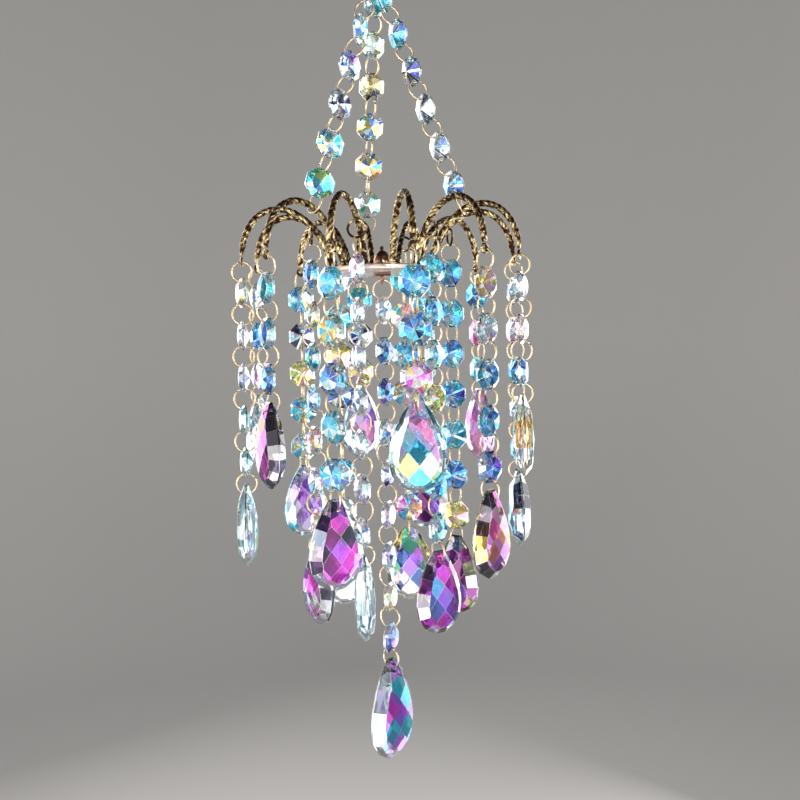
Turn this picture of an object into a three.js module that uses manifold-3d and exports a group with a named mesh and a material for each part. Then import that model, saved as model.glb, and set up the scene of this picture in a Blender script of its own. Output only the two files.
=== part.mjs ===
// A hanging crystal suncatcher: a small brass crown of twelve bent arms, with strands of
// octagon crystal beads and pear drops under it, on three bead chains and a top ring.
// Millimetres, +Z up. The origin is the inside top of the top ring, where the hook bears.

import * as THREE from 'three';
import { mergeVertices } from 'three/addons/utils/BufferGeometryUtils.js';
import Module from 'manifold-3d';

const wasm = await Module();
wasm.setup();

// Driving dimensions

// Fits
const gap = 0.3; // air between two pieces that bear on each other
const cutThrough = 3; // a hole's cutter is this many times as deep as what it cuts

// Octagon crystal bead
const beadAcross = 14;
const beadSides = 8;
const beadFront = 3.0; // height of the front facets over the girdle
const beadBack = 3.5; // height of the back facets
const beadEdge = 1.95; // glass between the threading hole's middle and the bead's flat side

// Jump ring between two beads
const ringAcross = 10.8;
const ringWire = 0.9;
const wireSides = 3;
const linkSides = 4; // straight lengths of a ring between two beads
const endRingSides = 6; // and of a strand's first and last ring

// Pear drop
const dropLength = 38;
const dropWidth = 25;
const dropDepth = 9.5;
const dropTip = 5.4; // width of the blunt tip over the hole
const dropSides = 6;
const centreDropLength = 48;
const centreDropWidth = 30;
const centreDropDepth = 11;

// Top ring
const topRingAcross = 30;
const topRingWire = 2.2;
const chainSpacing = 4.6; // between the three chains, along the top ring

// Hub disc
const hubAcross = 52.4;
const hubThickness = 2.5;
const hubSides = 24;
const armInset = 2; // from the hub's edge to the middle of an arm's foot

// Arm
const armCount = 12;
const firstArmAngle = 12.3; // degrees from the front, towards +X
const armRod = 3.2;
const armRodSides = 5;
const armSteps = 7; // straight lengths that the arm's curve is cut into
const armReach = 67.6; // from the axis to the outer strands
const archRise = 37; // control height of the inner leg over the hub
const archShoulder = 36; // control height of the outer leg over the hub
const innerLegLean = 10; // how far the inner leg leans out towards its control point
const outerLegLean = 1.5; // how far the outer leg leans in towards its control point
const innerLegShare = 0.6; // the inner leg lies within this share of the arm's curve
const eyeAboveHub = 3.1; // from the hub's top up to the middle of the arm's eye
const eyeWidth = 4.8;
const eyeFootWidth = 2.4;
const eyePlate = 1.4;
const eyeRim = 1.2; // metal under the eye's hole
const eyeHole = 1.7; // square, and the same in the drops

// Loop under every second arm, for the inner strands
const innerReach = 34.6;
const loopAcross = 10;
const loopWire = 1.2;
const loopBraze = 0.7; // how far the loop sinks into the arm

// Finial on the hub, and the hook under it
const finialHeight = 10.8;
const finialWidth = 8.4;
const finialBall = 2.2;
const finialSides = 10;
const hookBarWidth = 8.5;
const hookBarThickness = 0.9;
const hookStemWidth = 4;
const hookStemThickness = 1.4;
const hookNeck = 1.2; // metal between the bar and the hook's hole

// Chains from the crown to the top ring
const chainBeads = 6;
const chainReach = 41; // from the axis to where the right chain bears on its arm

// Dependent sizes

const ringSection = (ringWire * 2) / wireSides; // a three-sided wire as thick as the real one
const ringCentreRadius = ringAcross / 2 - ringSection;
const hexScale = 1 / Math.sqrt(Math.cos(Math.PI / 6)); // a hexagon as large as the round ring
const hexFlat = Math.cos(Math.PI / 6);
const ringInner = (ringCentreRadius * hexScale - ringSection / 2) * hexFlat; // middle to inner flat
const beadPitch = 2 * (beadAcross / 2 - beadEdge) + ringAcross - ringWire;
const armFootRadius = hubAcross / 2 - armInset;
const dropHole = eyeHole;
const holeFromRing = ringInner - gap + dropHole / 2; // from a ring's middle to a hole it passes

function radians(degrees) {
  return (degrees * Math.PI) / 180;
}

function around(angle, radius, height) {
  return new THREE.Vector3(radius * Math.sin(radians(angle)), -radius * Math.cos(radians(angle)), height);
}

// Solids from three.js geometries, and back

function solid(geometry) {
  const bare = geometry.clone();
  bare.deleteAttribute('normal');
  bare.deleteAttribute('uv');
  const merged = mergeVertices(bare, 1e-4);
  const corners = merged.index.array;
  const kept = [];
  for (let i = 0; i < corners.length; i += 3) {
    const [a, b, c] = [corners[i], corners[i + 1], corners[i + 2]];
    if (a !== b && b !== c && c !== a) {
      kept.push(a, b, c);
    }
  }
  const vertProperties = new Float32Array(merged.attributes.position.array);
  const triVerts = new Uint32Array(kept);
  return new wasm.Manifold(new wasm.Mesh({ numProp: 3, vertProperties, triVerts }));
}

function geometryOf(body) {
  const mesh = body.getMesh();
  const geometry = new THREE.BufferGeometry();
  geometry.setAttribute('position', new THREE.BufferAttribute(new Float32Array(mesh.vertProperties), 3));
  geometry.setIndex(Array.from(mesh.triVerts));
  geometry.computeVertexNormals();
  return geometry;
}

function joined(bodies) {
  return bodies.reduce((whole, body) => whole.add(body));
}

function lathe(profile, sides) {
  const points = profile.map(([radius, height]) => new THREE.Vector2(radius, height));
  const geometry = new THREE.LatheGeometry(points, sides);
  geometry.rotateX(Math.PI / 2);
  return geometry;
}

// Crystal bead, standing in the XZ plane with its front to -Y at turn 0, and a flat side up

function bead(height, turn) {
  const corner = beadAcross / 2 / Math.cos(Math.PI / beadSides);
  const geometry = lathe([[0, -beadBack], [corner, 0], [0, beadFront]], beadSides);
  geometry.rotateZ(Math.PI / beadSides);
  geometry.rotateX(Math.PI / 2);
  geometry.rotateZ(radians(turn));
  geometry.translate(0, 0, height);
  return solid(geometry);
}

// Upright jump ring, standing in the YZ plane at turn 0. End rings have six sides, so that
// they hang on a flat, and the rings between beads four.

function ring(height, turn, sides) {
  const scale = sides === endRingSides ? hexScale : 1;
  const geometry = new THREE.TorusGeometry(ringCentreRadius * scale, ringSection, wireSides, sides);
  geometry.rotateX(Math.PI / 2);
  geometry.rotateZ(Math.PI / 2 + radians(turn));
  geometry.translate(0, 0, height);
  return solid(geometry);
}

// A strand hangs down from the middle of its first ring. Its end rings turn from the first bead's
// own ring by these angles, to meet what they hang in and what hangs in them. Each bead may turn
// a little further than the one above it, and the ring between them turns half as much.

function strand(beads, firstTwist, lastTwist, beadTwist = 0) {
  const bodies = [ring(0, firstTwist, endRingSides)];
  for (let index = 0; index < beads; index += 1) {
    bodies.push(bead(-beadPitch * (index + 0.5), beadTwist * index));
    const below = -beadPitch * (index + 1);
    if (index < beads - 1) {
      bodies.push(ring(below, beadTwist * (index + 0.5), linkSides));
    } else {
      bodies.push(ring(below, lastTwist, endRingSides));
    }
  }
  return joined(bodies);
}

// Pear drop with its hole, hanging down from the middle of the ring that carries it

function drop(length, width, depth) {
  const profile = [
    [0, -length],
    [width * 0.36, -length * 0.92],
    [width * 0.5, -length * 0.66],
    [width * 0.38, -length * 0.28],
    [dropTip / 2, 0],
    [0, 0],
  ];
  const geometry = lathe(profile, dropSides);
  geometry.rotateZ(Math.PI / 2);
  const slim = depth / (width * Math.sin((2 * Math.PI) / dropSides));
  geometry.scale(1, slim, 1);
  const hole = new THREE.BoxGeometry(dropHole, depth * cutThrough, dropHole);
  hole.translate(0, 0, -holeFromRing);
  return solid(geometry).subtract(solid(hole));
}

// Arms

// In the arm's own frame the hub's top is at height 0 and the arm reaches out to -Y
function armCurve() {
  const rodEnd = eyeAboveHub + eyeHole / 2 + armRod / 2;
  const lean = Math.atan2(innerLegLean, archRise);
  const foot = gap + (armRod / 2) * Math.sin(lean);
  return new THREE.CubicBezierCurve3(
    new THREE.Vector3(0, -armFootRadius, foot),
    new THREE.Vector3(0, -armFootRadius - innerLegLean, archRise),
    new THREE.Vector3(0, -armReach + outerLegLean, archShoulder),
    new THREE.Vector3(0, -armReach, rodEnd),
  );
}

function arm(withLoop) {
  const section = new THREE.Shape();
  for (let side = 0; side < armRodSides; side += 1) {
    const angle = (side * 2 * Math.PI) / armRodSides;
    const x = (armRod / 2) * Math.cos(angle);
    const y = (armRod / 2) * Math.sin(angle);
    if (side === 0) {
      section.moveTo(x, y);
    } else {
      section.lineTo(x, y);
    }
  }
  const rod = new THREE.ExtrudeGeometry(section, {
    extrudePath: armCurve(),
    steps: armSteps,
    bevelEnabled: false,
  });
  let body = solid(rod).add(eye());
  if (withLoop) {
    body = body.add(solid(loop()));
  }
  return body;
}

// Flat eye at the arm's end, facing outwards
function eye() {
  const below = eyeHole / 2 + eyeRim;
  const above = eyeHole / 2 + armRod;
  const plate = new THREE.Shape();
  plate.moveTo(-armRod / 2, above);
  plate.lineTo(-eyeWidth / 2, 0);
  plate.lineTo(-eyeFootWidth / 2, -below);
  plate.lineTo(eyeFootWidth / 2, -below);
  plate.lineTo(eyeWidth / 2, 0);
  plate.lineTo(armRod / 2, above);
  const geometry = new THREE.ExtrudeGeometry(plate, { depth: eyePlate, bevelEnabled: false });
  geometry.rotateX(Math.PI / 2);
  geometry.translate(0, -armReach + eyePlate / 2, eyeAboveHub);
  const hole = new THREE.BoxGeometry(eyeHole, eyePlate * cutThrough, eyeHole);
  hole.translate(0, -armReach, eyeAboveHub);
  return solid(geometry).subtract(solid(hole));
}

// The share of the arm's curve, from its foot, at which it is this far from the axis
function onArmShare(reach) {
  const curve = armCurve();
  let low = 0;
  let high = innerLegShare;
  while (high - low > 1e-9) {
    const middle = (low + high) / 2;
    if (-curve.getPoint(middle).y < reach) {
      low = middle;
    } else {
      high = middle;
    }
  }
  return low;
}

// Loop brazed under the arm's inner leg, across the arm's plane
function loopCentre() {
  const rodHeight = armCurve().getPoint(onArmShare(innerReach)).z;
  return rodHeight - armRod / 2 - loopAcross / 2 + loopBraze;
}

const loopSection = (loopWire * 2) / wireSides;
const loopRadius = (loopAcross / 2 - loopSection) * hexScale;

// From the loop's middle to the inner flat at its foot
function loopInner() {
  return (loopRadius - loopSection / 2) * hexFlat;
}

function loop() {
  const geometry = new THREE.TorusGeometry(loopRadius, loopSection, wireSides, endRingSides);
  geometry.rotateX(Math.PI / 2);
  geometry.translate(0, -innerReach, loopCentre());
  return geometry;
}

// Hub, its finial and the hook under it. All three are drawn from the hub's top face.

function hub() {
  const geometry = new THREE.CylinderGeometry(hubAcross / 2, hubAcross / 2, hubThickness, hubSides);
  geometry.rotateX(Math.PI / 2);
  geometry.translate(0, 0, -hubThickness / 2);
  return solid(geometry);
}

function finial() {
  const ballMiddle = finialHeight - finialBall / 2;
  const neck = ballMiddle - finialBall / 2;
  const profile = [
    [0, gap],
    [finialWidth / 2, gap],
    [finialWidth / 2, neck * 0.35],
    [finialWidth * 0.34, neck * 0.68],
    [finialBall * 0.35, neck],
    [finialBall / 2, ballMiddle],
    [0, finialHeight],
  ];
  return solid(lathe(profile, finialSides));
}

function hookHole() {
  return -hubThickness - gap - hookBarThickness - hookNeck - eyeHole / 2;
}

function hook() {
  const top = -hubThickness - gap;
  const bottom = hookHole() - eyeHole / 2 - eyeRim;
  const bar = new THREE.BoxGeometry(hookBarWidth, hookStemWidth, hookBarThickness);
  bar.translate(0, 0, top - hookBarThickness / 2);
  const stemHeight = top - hookBarThickness / 2 - bottom;
  const stem = new THREE.BoxGeometry(hookStemThickness, hookStemWidth, stemHeight);
  stem.translate(0, 0, bottom + stemHeight / 2);
  const hole = new THREE.BoxGeometry(hookStemThickness * cutThrough, eyeHole, eyeHole);
  hole.translate(0, 0, hookHole());
  return solid(bar).add(solid(stem)).subtract(solid(hole));
}

// Top ring, standing in the YZ plane, with the inside of its top at the origin

const topRingSides = 20;
const topRingRadius = topRingAcross / 2 - topRingWire / 2;
const topRingFlat = Math.cos(Math.PI / topRingSides);
const topRingMiddle = -(topRingRadius - topRingWire / 2) * topRingFlat;

function topRing() {
  const geometry = new THREE.TorusGeometry(topRingRadius, topRingWire / 2, 4, topRingSides);
  geometry.rotateZ(Math.PI / topRingSides);
  geometry.rotateX(Math.PI / 2);
  geometry.rotateZ(Math.PI / 2);
  geometry.translate(0, 0, topRingMiddle);
  return solid(geometry);
}

// Where the chains bear on the top ring's wire, and on the arms

function chainTop(place) {
  const along = place * chainSpacing;
  const height = topRingMiddle - Math.sqrt(topRingRadius ** 2 - along ** 2);
  return new THREE.Vector3(0, along, height);
}

const reachTop = ringInner - topRingWire / 2 - gap;
const reachArm = ringInner - armRod / 2 - gap;
const chainSpan = reachTop + chainBeads * beadPitch + reachArm;

function onArm(angle, share) {
  const point = armCurve().getPoint(share);
  return around(angle, -point.y, point.z);
}

const bearing = onArmShare(chainReach);

// The right chain is the tautest, and sets how far the hub hangs under the top ring
function hubHeight(angle) {
  const foot = onArm(angle, bearing);
  const top = chainTop(0);
  const sideways = Math.hypot(foot.x - top.x, foot.y - top.y);
  return top.z - Math.sqrt(chainSpan ** 2 - sideways ** 2) - foot.z;
}

// The assembly

const suncatcher = new THREE.Group();
suncatcher.name = 'suncatcher';

const brass = { color: 0xd9a441, roughness: 0.25, metalness: 1 };
const polished = { color: 0xe8c9b4, roughness: 0.12, metalness: 1 };
const crystal = { color: 0x9fdcec, roughness: 0.05, metalness: 0 };
const violetCrystal = { color: 0xd78be0, roughness: 0.05, metalness: 0 };

function piece(name, body, look) {
  const mesh = new THREE.Mesh(geometryOf(body), new THREE.MeshStandardMaterial(look));
  mesh.name = name;
  return mesh;
}

// The three chains run to every fourth arm. Place is along the top ring, counted from -Y.
const chainTopRing = 90;
const chains = [
  { name: 'chain_right', arm: 2, place: 0, beadAngle: 120, twist: 0 },
  { name: 'chain_back', arm: 6, place: 1, beadAngle: 55, twist: -10 },
  { name: 'chain_left', arm: 10, place: -1, beadAngle: 76, twist: -9 },
];

const armAngle = (index) => firstArmAngle + (index * 360) / armCount;
const hubTop = hubHeight(armAngle(chains[0].arm));

suncatcher.add(piece('top_ring', topRing(), brass));

const crown = new THREE.Group();
crown.position.z = hubTop;
crown.add(piece('hub', hub(), polished));
crown.add(piece('finial', finial(), brass));
crown.add(piece('centre_hook', hook(), brass));
suncatcher.add(crown);

// Arms and outer strands, counted from the front towards +X. Turns are in degrees: how the
// beads and the drop of each strand happen to face.
const outer = [
  { beads: 3, beadAngle: 345, dropAngle: 5 },
  { beads: 5, beadAngle: 45, dropAngle: 48 },
  { beads: 3, beadAngle: 67, dropAngle: 85 },
  { beads: 5, beadAngle: 118, dropAngle: 95 },
  { beads: 3, beadAngle: 132, dropAngle: 122 },
  { beads: 5, beadAngle: 165, dropAngle: 165 },
  { beads: 3, beadAngle: 190, dropAngle: 215 },
  { beads: 5, beadAngle: 190, dropAngle: 215 },
  { beads: 3, beadAngle: 253, dropAngle: 253 },
  { beads: 5, beadAngle: 283, dropAngle: 275 },
  { beads: 3, beadAngle: 303, dropAngle: 298 },
  { beads: 5, beadAngle: 328, dropAngle: 30 },
];

const outerTop = eyeAboveHub - eyeHole / 2 - ringInner + gap;
outer.forEach(({ beads, beadAngle, dropAngle }, index) => {
  const number = String(index + 1).padStart(2, '0');
  const angle = armAngle(index);
  const rod = piece(`arm_${number}`, arm(index % 2 === 1), brass);
  rod.rotation.z = radians(angle);
  crown.add(rod);

  const beadStrand = piece(
    `outer_strand_${number}`,
    strand(beads, angle - beadAngle, dropAngle - beadAngle),
    crystal,
  );
  beadStrand.position.copy(around(angle, armReach, outerTop));
  beadStrand.rotation.z = radians(beadAngle);
  crown.add(beadStrand);

  const pear = piece(`outer_drop_${number}`, drop(dropLength, dropWidth, dropDepth), violetCrystal);
  pear.position.copy(around(angle, armReach, outerTop - beads * beadPitch));
  pear.rotation.z = radians(dropAngle);
  crown.add(pear);
});

// Inner strands, on the loops of every second arm
const innerBeads = 7;
const inner = [
  { beadAngle: 50, dropAngle: 34 },
  { beadAngle: 145, dropAngle: 140 },
  { beadAngle: 175, dropAngle: 180 },
  { beadAngle: 180, dropAngle: 180 },
  { beadAngle: 293, dropAngle: 305 },
  { beadAngle: 298, dropAngle: 275 },
];

const innerTop = loopCentre() - loopInner() + gap - ringInner;
inner.forEach(({ beadAngle, dropAngle }, index) => {
  const number = String(index + 1).padStart(2, '0');
  const angle = armAngle(2 * index + 1);
  const beadStrand = piece(
    `inner_strand_${number}`,
    strand(innerBeads, angle - beadAngle, dropAngle - beadAngle),
    crystal,
  );
  beadStrand.position.copy(around(angle, innerReach, innerTop));
  beadStrand.rotation.z = radians(beadAngle);
  crown.add(beadStrand);

  const pear = piece(`inner_drop_${number}`, drop(dropLength, dropWidth, dropDepth), violetCrystal);
  pear.position.copy(around(angle, innerReach, innerTop - innerBeads * beadPitch));
  pear.rotation.z = radians(dropAngle);
  crown.add(pear);
});

// Centre strand, on the hook under the hub
const centreBeads = 9;
const centreRingAngle = 90;
const centreBeadAngle = 65;
const centreDropAngle = 50;
const centreTop = hookHole() - eyeHole / 2 + gap - ringInner;
const centreStrand = piece(
  'centre_strand',
  strand(centreBeads, centreRingAngle - centreBeadAngle, centreDropAngle - centreBeadAngle),
  crystal,
);
centreStrand.position.z = centreTop;
centreStrand.rotation.z = radians(centreBeadAngle);
crown.add(centreStrand);

const centrePear = drop(centreDropLength, centreDropWidth, centreDropDepth);
const centreDrop = piece('centre_drop', centrePear, violetCrystal);
centreDrop.position.z = centreTop - centreBeads * beadPitch;
centreDrop.rotation.z = radians(centreDropAngle);
crown.add(centreDrop);

chains.forEach(({ name, arm: index, place, beadAngle, twist }) => {
  const angle = armAngle(index);
  const top = chainTop(place);
  const foot = onArm(angle, bearing).add(crown.position);
  const up = top.clone().sub(foot).normalize();
  const chain = piece(
    name,
    strand(chainBeads, chainTopRing - beadAngle, angle + 90 - beadAngle, twist),
    crystal,
  );
  const lean = new THREE.Quaternion().setFromUnitVectors(new THREE.Vector3(0, 0, 1), up);
  const turn = new THREE.Quaternion().setFromAxisAngle(new THREE.Vector3(0, 0, 1), radians(beadAngle));
  chain.position.copy(top).addScaledVector(up, -reachTop);
  chain.quaternion.copy(lean).multiply(turn);
  suncatcher.add(chain);
});

export default suncatcher;
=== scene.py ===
# A hanging crystal suncatcher: a crown of twelve twisted brass arms on a polished hub, with
# strands of octagon beads and pear drops, held by three bead chains and a top ring.
# Its own lengths are millimetres, and its meshes are metres, as is all of the studio.

import math
import random

import bmesh
import bpy
from mathutils import Matrix, Vector


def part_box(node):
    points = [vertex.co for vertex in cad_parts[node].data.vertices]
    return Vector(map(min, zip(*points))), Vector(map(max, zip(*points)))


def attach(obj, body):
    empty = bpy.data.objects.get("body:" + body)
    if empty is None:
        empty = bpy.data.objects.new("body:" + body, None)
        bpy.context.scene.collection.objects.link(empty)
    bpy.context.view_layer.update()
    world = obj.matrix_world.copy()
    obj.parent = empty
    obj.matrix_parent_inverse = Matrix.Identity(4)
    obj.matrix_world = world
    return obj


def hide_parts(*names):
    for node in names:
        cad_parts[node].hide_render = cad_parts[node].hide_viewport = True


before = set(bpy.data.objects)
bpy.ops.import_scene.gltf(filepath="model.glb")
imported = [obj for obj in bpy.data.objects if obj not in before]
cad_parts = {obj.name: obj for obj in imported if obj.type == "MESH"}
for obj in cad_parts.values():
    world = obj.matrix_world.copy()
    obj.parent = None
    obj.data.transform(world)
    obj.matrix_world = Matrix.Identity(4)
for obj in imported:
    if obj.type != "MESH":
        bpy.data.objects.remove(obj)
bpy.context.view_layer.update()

# The top ring
# A plain closed ring of round gilt wire. It hangs on a hook, edge-on to the viewer, and the
# three bead chains are strung on its lower half.

MM = 0.001
TOP_RING_RADIUS = 13.7
TOP_RING_WIRE = 2.2
TOP_RING_TURNS = 96
TOP_RING_SIDES = 16
BRASS_COLOUR = (0.86, 0.60, 0.22)
BRASS_SHADE = (0.55, 0.3, 0.1)
WEAR_DETAIL = 4
WEAR_FROM = 0.38
WEAR_TO = 0.54
DULL_ROUGHNESS = 0.25
RIPPLE_HEIGHT = 0.3


def upper_corner(node):
    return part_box(node)[1] / MM


def lower_corner(node):
    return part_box(node)[0] / MM


class Shell:
    """Points and faces of one piece, in millimetres, gathered from parts."""

    def __init__(self):
        self.points = []
        self.faces = []
        self.marks = []

    def add(self, points, faces, marks=None):
        first = len(self.points)
        self.points.extend(points)
        self.faces.extend([first + corner for corner in face] for face in faces)
        self.marks.extend(marks if marks is not None else [None] * len(faces))

    def tube(self, rows, closed):
        """Rows of points round a bar, joined in turn. An open bar gets flat ends."""
        around = len(rows[0])
        faces = []
        last = len(rows) if closed else len(rows) - 1
        for row in range(last):
            here = row * around
            there = (row + 1) % len(rows) * around
            for side in range(around):
                other = (side + 1) % around
                faces.append((here + side, here + other, there + other, there + side))
        if not closed:
            faces.append(tuple(range(around))[::-1])
            faces.append(tuple((len(rows) - 1) * around + side for side in range(around)))
        self.add([point for row in rows for point in row], faces)


def face_outward(mesh):
    """Turns all the faces of a closed mesh outward."""
    check = bmesh.new()
    check.from_mesh(mesh)
    bmesh.ops.recalc_face_normals(check, faces=check.faces)
    check.to_mesh(mesh)
    check.free()


def place_object(name, data):
    item = bpy.data.objects.new(name, data)
    bpy.context.scene.collection.objects.link(item)
    return item


def make_piece(name, shell, material, replaced=(), smooth=True):
    mesh = bpy.data.meshes.new(name)
    mesh.from_pydata([Vector(point) * MM for point in shell.points], [], shell.faces)
    face_outward(mesh)
    mesh.polygons.foreach_set("use_smooth", [smooth] * len(mesh.polygons))
    mesh.materials.append(material)
    piece = place_object(name, mesh)
    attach(piece, "root")
    if replaced:
        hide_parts(*replaced)
    return piece


def wire_ring(shell, centre, across, up, radius, wire, turns, sides, slit=0.0, start=0.0):
    """A round ring through two directions. A slit is an open angle in radians, as in a jump ring."""
    side = across.cross(up)
    rows = []
    steps = turns if slit == 0 else turns + 1
    for step in range(steps):
        angle = start + slit / 2 + (2 * math.pi - slit) * step / turns
        out = across * math.cos(angle) + up * math.sin(angle)
        rows.append([
            centre + out * (radius + wire / 2 * math.cos(turn)) + side * (wire / 2 * math.sin(turn))
            for turn in (2 * math.pi * index / sides for index in range(sides))
        ])
    shell.tube(rows, slit == 0)


def node_group(name, inputs, outputs):
    """An empty shader group with typed sockets. It returns the group and its two end nodes."""
    group = bpy.data.node_groups.new(name, "ShaderNodeTree")
    for label, kind, value in inputs:
        socket = group.interface.new_socket(name=label, in_out="INPUT", socket_type=kind)
        socket.default_value = value
    for label, kind in outputs:
        group.interface.new_socket(name=label, in_out="OUTPUT", socket_type=kind)
    return group, group.nodes.new("NodeGroupInput"), group.nodes.new("NodeGroupOutput")


def new_material(name):
    material = bpy.data.materials.new(name)
    material.use_nodes = True
    return material, material.node_tree


def feed(tree, node, values):
    """Fills a node's inputs. Sockets are linked, and plain values are set."""
    for label, value in values.items():
        if isinstance(value, bpy.types.NodeSocket):
            tree.links.new(value, node.inputs[label])
        else:
            node.inputs[label].default_value = value


def mix_colour(tree, factor, first, second):
    """A colour mix node, linked to three outputs."""
    mix = tree.nodes.new("ShaderNodeMix")
    mix.data_type = "RGBA"
    colour_inputs = [socket for socket in mix.inputs if socket.type == "RGBA"]
    for given, socket in zip((factor, first, second), (mix.inputs["Factor"], *colour_inputs)):
        tree.links.new(given, socket)
    return next(socket for socket in mix.outputs if socket.type == "RGBA")


def math_node(tree, operation, *values):
    node = tree.nodes.new("ShaderNodeMath")
    node.operation = operation
    feed(tree, node, dict(enumerate(values)))
    return node.outputs[0]


def object_noise(tree, scale, detail):
    """Even noise in the object's own space."""
    place = tree.nodes.new("ShaderNodeTexCoord")
    noise = tree.nodes.new("ShaderNodeTexNoise")
    feed(tree, noise, {"Vector": place.outputs["Object"], "Scale": scale, "Detail": detail})
    return noise.outputs["Fac"]


def build_wear_and_painted_shade():
    """Fine rubbing on plated metal: patches of duller plate and a faint ripple in the surface. A given mask
    darkens the plate the same way; on the arms it is patina and painted shade.
    """
    group, given, result = node_group(
        "wear_and_painted_shade",
        [
            ("Plate colour", "NodeSocketColor", (1, 1, 1, 1)),
            ("Worn and shaded colour", "NodeSocketColor", (0.5, 0.5, 0.5, 1)),
            ("Patina and shade", "NodeSocketFloat", 0.0),
            ("Roughness", "NodeSocketFloat", 0.2),
            ("Grain per metre", "NodeSocketFloat", 400.0),
        ],
        [("Colour", "NodeSocketColor"), ("Roughness", "NodeSocketFloat"), ("Height", "NodeSocketFloat")],
    )
    noise = object_noise(group, given.outputs["Grain per metre"], WEAR_DETAIL)
    patches = group.nodes.new("ShaderNodeMapRange")
    feed(group, patches, {"Value": noise, "From Min": WEAR_FROM, "From Max": WEAR_TO})
    wear_patina_and_shade = math_node(group, "MAXIMUM", patches.outputs["Result"], given.outputs["Patina and shade"])
    colour = mix_colour(group, wear_patina_and_shade, given.outputs["Plate colour"], given.outputs["Worn and shaded colour"])
    rougher = math_node(group, "MULTIPLY_ADD", wear_patina_and_shade, DULL_ROUGHNESS, given.outputs["Roughness"])
    feed(group, result, {"Colour": colour, "Roughness": rougher, "Height": noise})
    return group


WEAR_AND_PAINTED_SHADE = build_wear_and_painted_shade()


def plated_metal(name, plate, worn_and_shaded, roughness, grain, bump, patina_and_shade_attribute=None):
    material, tree = new_material(name)
    wear_and_shade = tree.nodes.new("ShaderNodeGroup")
    wear_and_shade.node_tree = WEAR_AND_PAINTED_SHADE
    feed(tree, wear_and_shade, {"Plate colour": (*plate, 1), "Worn and shaded colour": (*worn_and_shaded, 1)})
    feed(tree, wear_and_shade, {"Roughness": roughness, "Grain per metre": grain})
    # The arms give a mask of patina and painted shade, which darkens the plate as the wear patches do.
    if patina_and_shade_attribute:
        patina_and_shade_mask = tree.nodes.new("ShaderNodeAttribute")
        patina_and_shade_mask.attribute_name = patina_and_shade_attribute
        feed(tree, wear_and_shade, {"Patina and shade": patina_and_shade_mask.outputs["Fac"]})
    ripple = tree.nodes.new("ShaderNodeBump")
    feed(tree, ripple, {"Strength": bump, "Distance": RIPPLE_HEIGHT * MM, "Height": wear_and_shade.outputs["Height"]})
    feed(tree, tree.nodes["Principled BSDF"], {
        "Metallic": 1,
        "Base Color": wear_and_shade.outputs["Colour"],
        "Roughness": wear_and_shade.outputs["Roughness"],
        "Normal": ripple.outputs["Normal"],
    })
    return material


GILT_BRASS = plated_metal("gilt_brass", BRASS_COLOUR, BRASS_SHADE, roughness=0.16, grain=500, bump=0.25)

top_ring_middle = (upper_corner("top_ring").z + lower_corner("top_ring").z) / 2
shell = Shell()
wire_ring(
    shell, Vector((0, 0, top_ring_middle)), Vector((0, 1, 0)), Vector((0, 0, 1)),
    TOP_RING_RADIUS, TOP_RING_WIRE, TOP_RING_TURNS, TOP_RING_SIDES,
)
make_piece("top_ring_wire", shell, GILT_BRASS, ["top_ring"])

# The hub
# A thin turned disc of polished rose gold. The twelve arms are brazed to its upper face, and
# its bright underside shows from below.

HUB_RADIUS = 26.2
HUB_ROUND = 0.7
HUB_DISH = 0.35
HUB_FLAT = 0.5
HUB_UNDERSIDE = [(0.86, 0), (0.8, 1), (0.2, 0.5), (0, 0.3)]
HUB_SIDES = 96
CORNER_STEPS = 6
ROSE_GOLD = (0.98, 0.86, 0.79)
ROSE_GOLD_SHADE = (0.93, 0.76, 0.66)

hub_top = upper_corner("hub").z
hub_bottom = lower_corner("hub").z


def turned(shell, profile, sides):
    """A profile of (radius, height) points, from the axis to the axis, turned about the upright axis."""
    inner = profile[1:-1]
    points = [
        (radius * math.sin(turn), radius * math.cos(turn), height)
        for turn in (2 * math.pi * side / sides for side in range(sides))
        for radius, height in inner
    ]
    rows = len(inner)
    faces = []
    for side in range(sides):
        other = (side + 1) % sides
        for row in range(rows - 1):
            here = side * rows + row
            there = other * rows + row
            faces.append((here, here + 1, there + 1, there))
    poles = [(0, 0, profile[0][1]), (0, 0, profile[-1][1])]
    first = len(points)
    for side in range(sides):
        other = (side + 1) % sides
        faces.append((first, side * rows, other * rows))
        faces.append((first + 1, other * rows + rows - 1, side * rows + rows - 1))
    shell.add(points + poles, faces)


def rounded_edge(radius, low, high, rounding):
    """The outer edge of a disc, from its upper face down to its lower face, with both corners round."""
    corners = [
        (radius - rounding + rounding * math.sin(turn), high - rounding + rounding * math.cos(turn))
        for turn in (math.pi / 2 * step / CORNER_STEPS for step in range(CORNER_STEPS + 1))
    ]
    mirrored = [(across, low + high - height) for across, height in reversed(corners)]
    return corners + mirrored


shell = Shell()
hub_profile = [(0, hub_top), (HUB_RADIUS * HUB_FLAT, hub_top)]
hub_profile += rounded_edge(HUB_RADIUS, hub_bottom, hub_top, HUB_ROUND)
hub_profile += [(HUB_RADIUS * share, hub_bottom + HUB_DISH * depth) for share, depth in HUB_UNDERSIDE]
turned(shell, hub_profile, HUB_SIDES)
POLISHED_HUB = plated_metal(
    "polished_hub", ROSE_GOLD, ROSE_GOLD_SHADE, roughness=0.24, grain=150, bump=0.12,
)
make_piece("hub_disc", shell, POLISHED_HUB, ["hub"])

# The finial
# A turned domed nut with a small ball on top. It clamps the centre hook's shank through the
# middle of the hub.

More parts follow.
